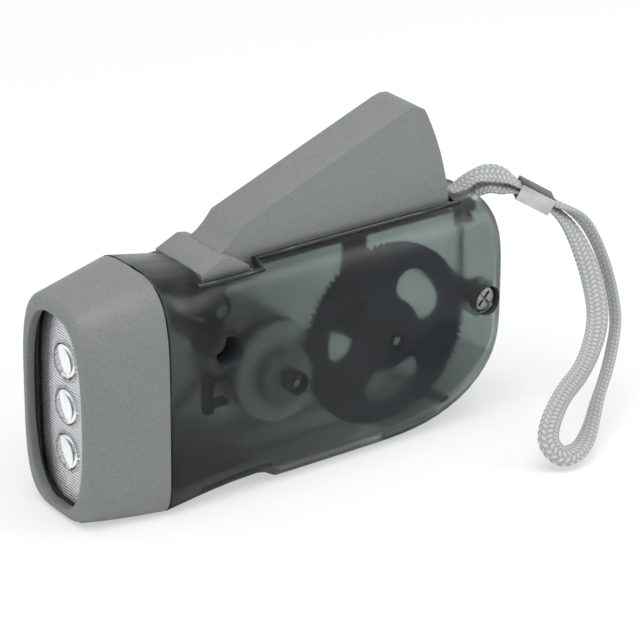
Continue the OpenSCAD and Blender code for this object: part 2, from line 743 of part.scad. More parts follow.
module stator_core() {
    color([0.6, 0.62, 0.62]) difference() {
        union() {
            difference() {
                rod(rotor_d, rotor_z, stator_radius, stator_y);
                rod(rotor_d, rotor_z, stator_radius - stator_wall, [stator_y[0] + stator_wall, stator_y[1] - stator_wall]);
            }
            translate([px(rotor_d), 0, rotor_z])
                across([stator_y[0], magnet_y[1]])
                    for (i = [0:claw_count - 1])
                        intersection() {
                            circle(r = claw_inner + stator_wall);
                            pie(stator_radius, 360 * i / claw_count - claw_share, 360 * i / claw_count + claw_share);
                        }
        }
        rod(rotor_d, rotor_z, claw_inner, [stator_y[0] - over, magnet_y[1] + over]);
        rod(rotor_d, rotor_z, axle_boss_radius, [0, body_width]);
    }
}
flange = 0.6;
bobbin_radius = 9.7;
bobbin_core = 3.6;
module coil_bobbin() {
    color([0.9, 0.9, 0.85]) difference() {
        rod(rotor_d, rotor_z, bobbin_radius, bobbin_y);
        difference() {
            rod(rotor_d, rotor_z, 2 * bobbin_radius, [bobbin_y[0] + flange, bobbin_y[1] - flange]);
            rod(rotor_d, rotor_z, bobbin_core, bobbin_y);
        }
        rod(rotor_d, rotor_z, axle_boss_radius, [-body_width, body_width]);
    }
}
winding_radius = 9;
module coil_winding() {
    color([0.72, 0.4, 0.2]) difference() {
        rod(rotor_d, rotor_z, winding_radius, [bobbin_y[0] + flange, bobbin_y[1] - flange]);
        rod(rotor_d, rotor_z, bobbin_core, bobbin_y);
    }
}

// wrist strap: one tape from the bar through the crimp, round the loop and back
bar_half = notch_half + cheek_width - 2 * seat;
module strap_bar() {
    color([0.75, 0.75, 0.78])
        rod(bar_d, bar_z, bar_diameter / 2, [-bar_half, bar_half]);
}
strap_up = [[-4.4, 0, 47.5], [-2.38, 0, 48.3], [1, -0.6, 50.3], [4.6, -1.8, 50.9], [7.6, -3.4, 50.2]];
strap_in_crimp = [[10.25, -5.31, 48.27], [13.5, -7.11, 46.11], [16.75, -8.91, 43.94]];
strap_down = [[23, -10.6, 39.7], [26, -13, 34.2], [27, -17, 26.2], [25, -22, 19.2], [20.5, -26.5, 14.7],
    [15, -31, 11.2], [10, -34.5, 8.2], [5.5, -38, 5.2], [0.5, -41.5, 3.3]];
strap_fold = [[-4.5, -43.5, 3], [-7.6, -43, 3.7]];
strap_back = [[-8.6, -41, 6.2], [-6, -38.5, 9.2], [0, -35, 12.2], [8, -31, 14.1], [14.4, -27, 17.1],
    [19, -23, 21.2], [21.6, -18, 26.7], [21.4, -14, 33.2], [19.6, -10.8, 38.7]];
strap_out_crimp = [[16.11, -8.55, 42.7], [12.86, -6.75, 44.87], [9.61, -4.95, 47.03]];
strap_home = [[6.8, -3.2, 48], [4.2, -1.8, 48.5], [1.4, -0.6, 47.6], [-0.1, 0, 45.45], [-2.38, 0, 43.5],
    [-4.2, 0, 44.1]];
strap_loop = concat(strap_down, strap_fold, strap_back);
strap_route = concat(strap_up, strap_in_crimp, strap_loop, strap_out_crimp, strap_home);
neck_side = [0, -1, 0];
crimp_side = [-0.485, -0.875, 0];
// the loop's tape turns from its edge towards its face by an angle at each point
edge_side = [-0.52, -0.748, 0.413];
loop_turns = [20, 20, 20, 20, 20, 20, 22, 28, 36, 44, 48, 48, 42, 30, 38, 60, 80, 80, 55, 30];
function turned(t, a) = cos(a) * side_of(t, edge_side) + sin(a) * unit(cross(edge_side, t));
loop_sides = [for (i = [0:len(strap_loop) - 1]) turned(along(strap_loop, i), loop_turns[i])];
strap_sides = concat([for (q = strap_up) neck_side], [for (q = strap_in_crimp) crimp_side], loop_sides,
    [for (q = strap_out_crimp) crimp_side], [for (q = strap_home) neck_side]);
// the crimp squeezes the tape
crimp_squeeze = 0.72;
strap_squeeze = concat([for (q = strap_up) 1], [for (q = strap_in_crimp) crimp_squeeze],
    [for (q = strap_loop) 1], [for (q = strap_out_crimp) crimp_squeeze], [for (q = strap_home) 1]);
function from_rear(p) = [for (q = p) [body_length / 2 + q[0], q[1], q[2]]];
strap_steps = 3;
strap_ring_sides = 10;
module strap() {
    color([0.82, 0.82, 0.82])
        tube(smooth(from_rear(strap_route), strap_steps), smooth(strap_sides, strap_steps), tape_width / 2,
            smooth(strap_squeeze, strap_steps) * tape_thickness / 2, strap_ring_sides);
}
crimp_start = [9.7, -5, 47.8];
crimp_turn = -29;
crimp_tilt = 30.2;
crimp_length = 8.4;
crimp_lead = 0.4;
crimp_wall = 0.35;
crimp_room = 0.1;
module crimp_block(length, margin) {
    translate([crimp_lead + crimp_length / 2, 0, 0])
        cube([length, tape_width + 2 * margin, 2 * crimp_squeeze * tape_thickness + crimp_room + 2 * margin],
            center = true);
}
module strap_crimp() {
    color([0.8, 0.8, 0.8])
        translate([body_length / 2 + crimp_start[0], crimp_start[1], crimp_start[2]])
            rotate([0, crimp_tilt, crimp_turn])
                difference() {
                    crimp_block(crimp_length, crimp_room + crimp_wall);
                    crimp_block(2 * crimp_length, crimp_room);
                }
}

left_shell();
right_shell();
case_screws();
head_bezel();
window_lens();
lens_gasket();
reflector();
led_board();
leds();
diodes();
lead_wires();
press_lever();
lever_pin();
return_spring();
drive_pinion();
main_gear();
gear_axle();
rotor_pinion();
flywheel();
ring_magnet();
rotor_shaft();
stator_core();
coil_bobbin();
coil_winding();
strap_bar();
strap();
strap_crimp();
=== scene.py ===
"""Looks of a hand-press dynamo lamp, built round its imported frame."""

import math

import bmesh
import bpy
from bpy.props import FloatProperty, FloatVectorProperty, IntProperty, PointerProperty
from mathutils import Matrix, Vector


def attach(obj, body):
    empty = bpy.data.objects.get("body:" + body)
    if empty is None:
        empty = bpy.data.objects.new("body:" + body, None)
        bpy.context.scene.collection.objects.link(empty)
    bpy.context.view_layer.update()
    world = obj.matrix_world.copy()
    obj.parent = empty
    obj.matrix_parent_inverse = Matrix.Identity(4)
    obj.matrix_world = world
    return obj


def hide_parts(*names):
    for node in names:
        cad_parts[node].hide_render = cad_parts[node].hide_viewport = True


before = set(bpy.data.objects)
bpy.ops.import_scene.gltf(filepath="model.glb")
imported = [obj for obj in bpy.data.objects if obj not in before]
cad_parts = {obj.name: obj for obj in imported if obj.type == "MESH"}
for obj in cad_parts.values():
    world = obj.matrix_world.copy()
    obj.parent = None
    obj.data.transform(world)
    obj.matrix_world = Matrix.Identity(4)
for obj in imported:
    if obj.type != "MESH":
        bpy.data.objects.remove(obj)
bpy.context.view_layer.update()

bl_info = {
    "name": "Hand-press lamp",
    "version": (1, 0, 0),
    "blender": (4, 5, 0),
    "location": "View3D > Sidebar > Lamp",
    "description": "Dresses the frame of a hand-press dynamo lamp",
    "category": "Object",
}

MM = 0.001
HALF_LENGTH = 52.5

# the camera looks at this point, in metres, through a sensor of this width in millimetres
AIM = Vector((-0.0005, 0, 0.0307))
SENSOR_WIDTH = 36
# the area lights: name, place and size in metres, and the setting that holds the strength
SOFTBOXES = [
    ("overhead_softbox", (-0.2, -0.3, 1.5), (1.4, 1.4), "key"),
    ("front_softbox", (-2, -0.2, 0.6), (1.4, 1.4), "fill"),
    ("shoulder_strip", (0.4, -0.335, 0.36), (0.16, 0.4), "strip"),
]
WHITE = (1, 1, 1, 1)
SKY_COLOUR = (0.88, 0.96, 1, 1)
# half of the floor's side, in metres
FLOOR_HALF = 4
# shares of plain white in the background and the floor: for the camera, and in gloss and through glass
WORLD_WHITE = (1, 1)
FLOOR_WHITE = (0.5, 0.15)

# points of a mesh that are closer than this, in metres, become one
MERGE_DISTANCE = 0.000002
# triangles that bend less than this are joined to faces, which may be skewed this far
FLAT_ANGLE = math.radians(1)
SKEW_ANGLE = math.radians(60)
# edges over this angle look crisp
CRISP_ANGLE = math.radians(32)
# edges over this angle are rounded, in this number of steps
ROUND_ANGLE = math.radians(40)
ROUND_STEPS = 2

# most values of a noise texture lie between these two
NOISE_MIDDLE = (0.3, 0.7)
NOISE_DETAIL = 3
# a finish's roughness varies by this share, at this part of the mottle's scale
ROUGHNESS_SHARE = 0.15
ROUGHNESS_SCALE = 0.7

# the strap's route: distance behind the rear end, place across, height, in millimetres
STRAP_UP = [
    (-4.4, 0, 47.5), (-2.38, 0, 48.3), (1, -0.6, 50.3), (4.6, -1.8, 50.9), (7.6, -3.4, 50.2),
]
STRAP_IN_CRIMP = [
    (10.25, -5.31, 48.27), (13.5, -7.11, 46.11), (16.75, -8.91, 43.94),
]
STRAP_LOOP = [
    (23, -10.6, 39.7), (26, -13, 34.2), (27, -17, 26.2), (25, -22, 19.2), (20.5, -26.5, 14.7),
    (15, -31, 11.2), (10, -34.5, 8.2), (5.5, -38, 5.2), (0.5, -41.5, 3.3), (-4.5, -43.5, 3),
    (-7.6, -43, 3.7), (-8.6, -41, 6.2), (-6, -38.5, 9.2), (0, -35, 12.2), (8, -31, 14.1),
    (14.4, -27, 17.1), (19, -23, 21.2), (21.6, -18, 26.7), (21.4, -14, 33.2), (19.6, -10.8, 38.7),
]
STRAP_OUT_CRIMP = [
    (16.11, -8.55, 42.7), (12.86, -6.75, 44.87), (9.61, -4.95, 47.03),
]
STRAP_HOME = [
    (6.8, -3.2, 48), (4.2, -1.8, 48.5), (1.4, -0.6, 47.6), (-0.1, 0, 45.45), (-2.38, 0, 43.5),
    (-4.2, 0, 44.1),
]
# directions of the tape's width at the bar, between bar and crimp, in the crimp and along the loop
NECK_SIDE = (0, -1, 0)
TILT_SIDE = (-0.1, -0.87, -0.48)
CRIMP_SIDE = (-0.485, -0.875, 0)
EDGE_SIDE = Vector((-0.52, -0.748, 0.413))
# points of the neck where the tape is tilted towards the near side
TILTED = 3
# how far the loop's tape turns from its edge to its face, in degrees
LOOP_TURNS = [20, 20, 20, 20, 20, 20, 22, 30, 42, 56, 66, 70, 68, 62, 62, 70, 82, 82, 60, 35]
# share of the tape's thickness that is left in the crimp
CRIMP_SQUEEZE = 0.72

# the braid: points across one column of stitches, how far a stitch leans, how much of a column's bulge is cut
# off at its edges, and the height of the groove between two stitches
SIDES_PER_COLUMN = 5
STITCH_LEAN = 0.5
COLUMN_EDGE = 0.1
STITCH_FLOOR = 0.35
# the tape's fibres: roughness, sheen, share of the colour in the grooves, which is painted shade, and the
# grain's scale, depth and strength
TAPE_ROUGHNESS = 0.75
TAPE_SHEEN = 0.25
GROOVE_PAINTED_SHADE = 0.3
TAPE_GRAIN = (3200, 0.0001, 0.6)

# the crimp: radius of its edges in metres, and the slope above which its sheet is darker
CRIMP_ROUND = 0.00025
DARK_TOP_SLOPE = 0.7

# the case's smoked plastic: refraction, spread of roughness and its scale, gloss of its skin, and the grain's
# scale, depth and strength
SMOKE_IOR = 1.18
SMOKE_ROUGHNESS = (0.28, 0.3)
SMOKE_UNEVEN_SCALE = 2500
SHELL_COAT = 0.24
COAT_ROUGHNESS = 0.16
SMOKE_GRAIN = (5000, 0.000008, 0.4)
# the colour lightens between these places along the case, in metres, from this share of it at the head
TINT_START = -0.034
TINT_END = 0.052
TINT_AT_HEAD = 0.48
# the tint wavers by this amount, at this scale of noise
TINT_WAVER = 0.25
TINT_WAVER_SCALE = 90
# faces that look down past this slope, below this height in millimetres, are the underside, which gets
# painted shade: its colour is this share of the wall's
UNDERSIDE_SLOPE = -0.35
UNDERSIDE_TOP = 26
UNDERSIDE_PAINTED_SHADE = 0.36

# recesses and bosses of the case, whose walls get painted shade: place along and up, radius, in millimetres
SCREW_RECESSES = [(-19.4, 33.7, 3.6), (47.8, 27.8, 3.6)]
RECESS_FLOOR = -12
BOSSES = [
    (-19.65, 41.8, 1.7), (24.48, 23.97, 2.7), (-1.36, 21.12, 2.7),
    (45.8, 45.7, 1.8), (37.9, 5.9, 1.8),
]
BOSS_ROOT = -13.4
# a face is a wall of a recess or a boss if it looks across the case by less than this
RECESS_WALL = 0.4
BOSS_WALL = 0.5
# lowest and highest corner of the rib, whose faces get painted shade
RIB_BOX = ((-24.7, -13.4, 20.1), (-18.9, -11.2, 29.6))

# one side of the lever's slot in millimetres: distance from the front, place across
SLOT_EDGE = [
    (29.5, -9.7), (34.6, -9.7), (39.4, -9.7), (44.8, -9.7), (44.8, -6.9), (55, -6.9), (70, -6.9), (85, -6.9),
    (97.4, -6.9),
]
# the bead round the slot: radius in millimetres, and how finely it is rounded
RIM_RADIUS = 0.65
RIM_RESOLUTION = 2
# the case's roof in millimetres: top, power of its curve, half width, and where and how fast it narrows
ROOF_HEIGHT = 49.5
ROOF_POWER = 3
CASE_HALF_WIDTH = 15.25
TAPER_START = 60
TAPER_SLOPE = 0.6 / 45
# the lever's faces below this height in millimetres lie inside the case and get painted shade
LEVER_INSIDE = 45.5

# the window: refraction and spread of roughness with its scale
WINDOW_IOR = 1.49
WINDOW_ROUGHNESS = (0.0, 0.04)
WINDOW_UNEVEN_SCALE = 400
# the reflector's flutes are the bands of a wave at this scale, 0.6 mm apart, with a waver and a depth in
# metres
FLUTE_SCALE = 520
FLUTE_WAVER = 1.5
FLUTE_DEPTH = 0.00015

# plain finishes: colour and roughness, then what differs from the usual; grain is its scale and depth
FINISHES = {
    "nylon": {"colour": (0.5, 0.5, 0.46), "roughness": 0.45, "grain": (900, 0.00003)},
    "gear_black": {"colour": (0.013, 0.016, 0.04), "roughness": 0.4, "grain": (900, 0.00003)},
    "cast_zinc": {"colour": (0.9, 0.91, 0.91), "roughness": 0.5, "metallic": 0.2, "grain": (1200, 0.00004)},
    "ferrite": {"colour": (0.03, 0.03, 0.033), "roughness": 0.6, "grain": (1500, 0.00005)},
    "core_sheet": {"colour": (0.4, 0.41, 0.41), "roughness": 0.4, "metallic": 1.0, "grain": (900, 0.00003)},
    "copper": {"colour": (0.6, 0.22, 0.08), "roughness": 0.35, "metallic": 1.0, "grain": (2500, 0.0001)},
    "bright_steel": {"colour": (0.62, 0.62, 0.64), "roughness": 0.28, "metallic": 1.0, "mottle": 0.06,
                     "mottle_scale": 700, "grain": (1800, 0.00002)},
    # steel whose colour is darkened also as painted shade for the front screw deep in its recess
    "dull_steel": {"colour": (0.33, 0.34, 0.34), "roughness": 0.36, "metallic": 1.0, "mottle": 0.3,
                   "mottle_scale": 900, "grain": (1200, 0.00004)},
    "bright_crimp": {"colour": (0.5, 0.5, 0.5), "roughness": 0.2, "metallic": 1.0, "mottle": 0.1,
                     "mottle_scale": 500, "grain": (900, 0.00005)},
    "tarnished_crimp": {"colour": (0.045, 0.043, 0.04), "roughness": 0.3, "metallic": 1.0, "mottle": 0.5,
                        "mottle_scale": 700, "grain": (900, 0.00005)},
    # painted shade: the dark colour given to the case's recesses, boss walls and rib
    "smoked_recess": {"colour": (0.045, 0.052, 0.054), "roughness": 0.3, "grain": (2500, 0.00001)},
    "slot_rim": {"colour": (0.012, 0.014, 0.014), "roughness": 0.16, "grain": (2500, 0.00001)},
    # painted shade: the lever's grey plastic, darkened where it lies inside the case
    "grey_inside": {"colour": (0.05, 0.055, 0.055), "roughness": 0.6, "grain": (2400, 0.00006)},
    # painted shade: near-black for the deep shadowed gap between the bezel and the reflector
    "seal_rubber": {"colour": (0.012, 0.012, 0.012), "roughness": 0.6, "grain": (900, 0.00004)},
    "board_green": {"colour": (0.02, 0.09, 0.045), "roughness": 0.4, "grain": (500, 0.00003)},
    "lamp_resin": {"colour": (0.6, 0.61, 0.58), "roughness": 0.1, "mottle": 0.04},
    "diode_black": {"colour": (0.02, 0.02, 0.022), "roughness": 0.45, "grain": (1500, 0.00002)},
    "wire_red": {"colour": (0.4, 0.02, 0.02), "roughness": 0.4, "grain": (800, 0.00003)},
}
# nodes of the frame that keep their shape, with their finishes
DRIVE_NODES = {
    "drive_pinion": "nylon",
    "rotor_pinion": "nylon",
    "coil_bobbin": "nylon",
    "main_gear": "gear_black",
    "flywheel": "cast_zinc",
    "ring_magnet": "ferrite",
    "stator_core": "core_sheet",
    "coil_winding": "copper",
    "gear_axle": "bright_steel",
    "rotor_shaft": "bright_steel",
    "lever_pin": "bright_steel",
    "return_spring": "bright_steel",
    "strap_bar": "bright_steel",
    # the screws' darker steel is partly painted shade
    "case_screws": "dull_steel",
}
LIGHT_NODES = {
    # the gasket's near-black colour is painted shade for the deep gap round the window
    "lens_gasket": "seal_rubber",
    "led_board": "board_green",
    "leds": "lamp_resin",
    "diodes": "diode_black",
    "lead_wires": "wire_red",
}


class LampColours(bpy.types.PropertyGroup):
    """Colours of the lamp's main finishes."""

    smoke: FloatVectorProperty(name="Smoke", description="Tint of the case", subtype="COLOR",
                               default=(0.41, 0.46, 0.445), min=0, max=1)
    grey: FloatVectorProperty(name="Grey", description="Head and lever", subtype="COLOR",
                              default=(0.2, 0.208, 0.201), min=0, max=1)
    tape: FloatVectorProperty(name="Tape", description="Wrist strap", subtype="COLOR",
                              default=(0.58, 0.59, 0.565), min=0, max=1)
    silver: FloatVectorProperty(name="Silver", description="Reflector", subtype="COLOR",
                                default=(0.86, 0.87, 0.88), min=0, max=1)


class LampSizes(bpy.types.PropertyGroup):
    """Sizes of what is added to the frame."""

    edge_round: FloatProperty(name="Edge round", description="Radius of the moulded edges",
                              subtype="DISTANCE", default=0.0004, min=0, max=0.001)
    tape_width: FloatProperty(name="Tape width", description="Width of the strap",
                              subtype="DISTANCE", default=0.005, min=0.003, max=0.006)
    tape_thickness: FloatProperty(name="Tape thickness", description="Thickness of the strap",
                                  subtype="DISTANCE", default=0.0019, min=0.001, max=0.003)
    braid_pitch: FloatProperty(name="Braid pitch", description="Length of one stitch of the braid",
                               subtype="DISTANCE", default=0.0011, min=0.0005, max=0.003)
    braid_depth: FloatProperty(name="Braid depth", description="Height of the braid's stitches",
                               subtype="DISTANCE", default=0.0002, min=0, max=0.0005)
    braid_columns: IntProperty(name="Braid columns", description="Columns of stitches round the tape",
                               default=10, min=4, max=24)
    strap_steps: IntProperty(name="Strap steps", description="Rings between two points of the route",
                             default=28, min=2, max=40)


class LampStage(bpy.types.PropertyGroup):
    """Camera and light."""

    azimuth: FloatProperty(name="Azimuth", description="Camera's turn about the lamp", subtype="ANGLE",
                           default=math.radians(-34.84))
    elevation: FloatProperty(name="Elevation", description="Camera's height", subtype="ANGLE",
                             default=math.radians(24.37))
    distance: FloatProperty(name="Distance", description="Camera's distance", subtype="DISTANCE", default=0.7)
    lens: FloatProperty(name="Lens", description="Focal length in millimetres", default=187.8)
    shift_x: FloatProperty(name="Shift X", description="Sideways framing", default=0.0868)
    shift_y: FloatProperty(name="Shift Y", description="Upward framing", default=-0.002)
    key: FloatProperty(name="Key light", description="Strength of the overhead softbox", default=16.5)
    fill: FloatProperty(name="Fill light", description="Strength of the front softbox", default=6.5)
    strip: FloatProperty(name="Strip light", description="Strength of the small lamp over the rear",
                         default=0.75)
    world: FloatProperty(name="World", description="Strength of the surrounding light", default=0.45)


def new_material(name, colour, roughness, metallic=0.0):
    """A material with one principled shader; returns it with its tree and shader."""
    material = bpy.data.materials.new(name)
    material.use_nodes = True
    tree = material.node_tree
    shader = tree.nodes["Principled BSDF"]
    shader.inputs["Base Color"].default_value = (*colour, 1)
    shader.inputs["Roughness"].default_value = roughness
    shader.inputs["Metallic"].default_value = metallic
    return material, tree, shader


def noise(tree, scale):
    """A noise texture on Object coordinates."""
    place = tree.nodes.new("ShaderNodeTexCoord")
    texture = tree.nodes.new("ShaderNodeTexNoise")
    texture.inputs["Scale"].default_value = scale
    texture.inputs["Detail"].default_value = NOISE_DETAIL
    tree.links.new(place.outputs["Object"], texture.inputs["Vector"])
    return texture


def add_grain(tree, shader, scale, distance, strength=1.0):
    """A fine moulded grain as bump."""
    bump = tree.nodes.new("ShaderNodeBump")
    bump.inputs["Strength"].default_value = strength
    bump.inputs["Distance"].default_value = distance
    tree.links.new(noise(tree, scale).outputs["Fac"], bump.inputs["Height"])
    tree.links.new(bump.outputs["Normal"], shader.inputs["Normal"])


def add_range(tree, texture, socket, low, high):
    """Spreads a texture's middle over two values of a socket."""
    ramp = tree.nodes.new("ShaderNodeMapRange")
    ramp.inputs["From Min"].default_value = NOISE_MIDDLE[0]
    ramp.inputs["From Max"].default_value = NOISE_MIDDLE[1]
    ramp.inputs["To Min"].default_value = low
    ramp.inputs["To Max"].default_value = high
    tree.links.new(texture.outputs["Fac"], ramp.inputs["Value"])
    tree.links.new(ramp.outputs["Result"], socket)


def add_mottle(tree, shader, colour, amount, scale):
    """Small differences of shade over a surface."""
    mix = tree.nodes.new("ShaderNodeMix")
    mix.data_type = "RGBA"
    mix.inputs["A"].default_value = (*[c * (1 - amount) for c in colour], 1)
    mix.inputs["B"].default_value = (*[min(1, c * (1 + amount)) for c in colour], 1)
    add_range(tree, noise(tree, scale), mix.inputs["Factor"], 0, 1)
    tree.links.new(mix.outputs["Result"], shader.inputs["Base Color"])


def finish_material(name, colour, roughness, metallic=0.0, mottle=0.08, mottle_scale=260, grain=None):
    """A material with mottled colour, uneven roughness and, where given, grain as (scale, distance)."""
    material, tree, shader = new_material(name, colour, roughness, metallic)
    add_mottle(tree, shader, colour, mottle, mottle_scale)
    add_range(tree, noise(tree, mottle_scale * ROUGHNESS_SCALE), shader.inputs["Roughness"],
              roughness * (1 - ROUGHNESS_SHARE), roughness * (1 + ROUGHNESS_SHARE))
    if grain:
        add_grain(tree, shader, *grain)
    return material


def plain_finish(name):
    """A material of the table of plain finishes."""
    return finish_material(name, **FINISHES[name])


def smooth_by_angle(limit):
    """A geometry group that shades faces smooth and keeps edges over an angle crisp."""
    group = bpy.data.node_groups.new("smooth_by_angle", "GeometryNodeTree")
    for way in ("INPUT", "OUTPUT"):
        group.interface.new_socket("Geometry", in_out=way, socket_type="NodeSocketGeometry")
    nodes, links = group.nodes, group.links
    sharp = nodes.new("FunctionNodeCompare")
    sharp.operation = "GREATER_THAN"
    sharp.inputs["B"].default_value = limit
    angle = nodes.new("GeometryNodeInputMeshEdgeAngle")
    links.new(angle.outputs["Unsigned Angle"], sharp.inputs["A"])
    faces = nodes.new("GeometryNodeSetShadeSmooth")
    edges = nodes.new("GeometryNodeSetShadeSmooth")
    edges.domain = "EDGE"
    edges.inputs["Shade Smooth"].default_value = False
    links.new(nodes.new("NodeGroupInput").outputs["Geometry"], faces.inputs["Geometry"])
    links.new(faces.outputs["Geometry"], edges.inputs["Geometry"])
    links.new(sharp.outputs["Result"], edges.inputs["Selection"])
    links.new(edges.outputs["Geometry"], nodes.new("NodeGroupOutput").inputs["Geometry"])
    return group


def dress(node, material):
    """Gives a CAD node a material, joined faces and smooth shading with crisp edges."""
    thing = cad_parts[node]
    thing.data.materials.clear()
    thing.data.materials.append(material)
    weld = thing.modifiers.new("joined", "WELD")
    weld.merge_threshold = MERGE_DISTANCE
    smooth = thing.modifiers.new("smooth", "NODES")
    smooth.node_group = bpy.data.node_groups.get("smooth_by_angle") or smooth_by_angle(CRISP_ANGLE)


def dress_plainly(finishes):
    """Gives CAD nodes the plain finishes that stand beside their names, each of which is made once."""
    made = {}
    for node, name in finishes.items():
        if name not in made:
            made[name] = plain_finish(name)
        dress(node, made[name])


def rounded_copy(node, body, material, radius):
    """A copy of a CAD node with joined faces and rounded edges, which stands for the node."""
    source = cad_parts[node]
    bm = bmesh.new()
    bm.from_mesh(source.data)
    bmesh.ops.remove_doubles(bm, verts=bm.verts, dist=MERGE_DISTANCE)
    bmesh.ops.join_triangles(bm, faces=bm.faces, angle_face_threshold=FLAT_ANGLE,
                             angle_shape_threshold=SKEW_ANGLE)
    edges = [
        edge for edge in bm.edges
        if len(edge.link_faces) == 2 and edge.calc_face_angle(0) > ROUND_ANGLE
    ]
    bmesh.ops.bevel(bm, geom=edges, offset=radius, offset_type="OFFSET", segments=ROUND_STEPS, profile=0.5,
                    affect="EDGES", clamp_overlap=True, material=-1)
    mesh = bpy.data.meshes.new(node + "_rounded")
    bm.to_mesh(mesh)
    bm.free()
    mesh.materials.append(material)
    for face in mesh.polygons:
        face.use_smooth = True
    mesh.set_sharp_from_angle(angle=CRISP_ANGLE)
    thing = bpy.data.objects.new(node + "_rounded", mesh)
    bpy.context.scene.collection.objects.link(thing)
    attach(thing, body)
    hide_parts(node)
    return thing


def roof_at(distance, place):
    """Height of the case's roof at a distance from the front and a place across."""
    half = CASE_HALF_WIDTH - TAPER_SLOPE * max(0, distance - TAPER_START)
    return ROOF_HEIGHT / 2 * (1 + (1 - (abs(place) / half) ** ROOF_POWER) ** (1 / ROOF_POWER))


def glide(points, steps):
    """A smooth line through points, with a number of steps between two."""
    line = []
    last = len(points) - 1
    for i in range(last):
        start, end = points[i], points[i + 1]
        before, after = points[max(i - 1, 0)], points[min(i + 2, last)]
        for k in range(steps):
            t = k / steps
            line.append(0.5 * (2 * start + (end - before) * t
                               + (2 * before - 5 * start + 4 * end - after) * t ** 2
                               + (3 * start - before - 3 * end + after) * t ** 3))
    return line + [points[last]]


def tangent(line, i):
    """Direction of a line at one of its points."""
    return (line[min(i + 1, len(line) - 1)] - line[max(i - 1, 0)]).normalized()


def across(side, along):
    """The part of a side direction that is square to a line."""
    return (side - side.dot(along) * along).normalized()


def strap_route(steps):
    """The strap's line, the direction of its width along it, and how far it is squeezed."""
    routes = (STRAP_UP, STRAP_IN_CRIMP, STRAP_LOOP, STRAP_OUT_CRIMP, STRAP_HOME)
    points = [Vector((HALF_LENGTH + behind, y, z)) * MM for route in routes for behind, y, z in route]
    loop = [Vector(point) for point in STRAP_LOOP]
    loop_sides = []
    for i, degrees in enumerate(LOOP_TURNS):
        along = tangent(loop, i)
        edge = across(EDGE_SIDE, along)
        face = EDGE_SIDE.cross(along).normalized()
        turn = math.radians(degrees)
        loop_sides.append(math.cos(turn) * edge + math.sin(turn) * face)
    crimp_sides = [Vector(CRIMP_SIDE)] * len(STRAP_IN_CRIMP)
    neck_sides = [Vector(TILT_SIDE)] * TILTED + [Vector(NECK_SIDE)] * (len(STRAP_HOME) - TILTED)
    sides = neck_sides[:0:-1] + crimp_sides + loop_sides + crimp_sides + neck_sides
    squeeze = [1.0] * len(STRAP_UP) + [CRIMP_SQUEEZE] * len(STRAP_IN_CRIMP) + [1.0] * len(STRAP_LOOP)
    squeeze += [CRIMP_SQUEEZE] * len(STRAP_OUT_CRIMP) + [1.0] * len(STRAP_HOME)
    return glide(points, steps), glide(sides, steps), glide(squeeze, steps)


def stitch_height(run, column):
    """Height from 0 to 1 of a flat braid, whose columns of stitches lean left and right in turn."""
    place = column % 1
    lean = STITCH_LEAN * place if int(column) % 2 else -STITCH_LEAN * place
    stitch = 0.5 + 0.5 * math.cos(2 * math.pi * (run + lean))
    bulge = math.sqrt(math.sin(math.pi * (COLUMN_EDGE + (1 - 2 * COLUMN_EDGE) * place)))
    return bulge * (STITCH_FLOOR + (1 - STITCH_FLOOR) * stitch)


def seen_rays(tree, camera, others):
    """Share of plain white: for rays from the camera, and for those in gloss and through glass."""
    path = tree.nodes.new("ShaderNodeLightPath")
    either = tree.nodes.new("ShaderNodeMath")
    either.operation = "MAXIMUM"
    tree.links.new(path.outputs["Is Glossy Ray"], either.inputs[0])
    tree.links.new(path.outputs["Is Transmission Ray"], either.inputs[1])
    weighed = tree.nodes.new("ShaderNodeMath")
    weighed.operation = "MULTIPLY"
    weighed.inputs[1].default_value = others
    tree.links.new(either.outputs["Value"], weighed.inputs[0])
    total = tree.nodes.new("ShaderNodeMath")
    total.operation = "MULTIPLY_ADD"
    total.inputs[1].default_value = camera
    tree.links.new(path.outputs["Is Camera Ray"], total.inputs[0])
    tree.links.new(weighed.outputs["Value"], total.inputs[2])
    return total.outputs["Value"]


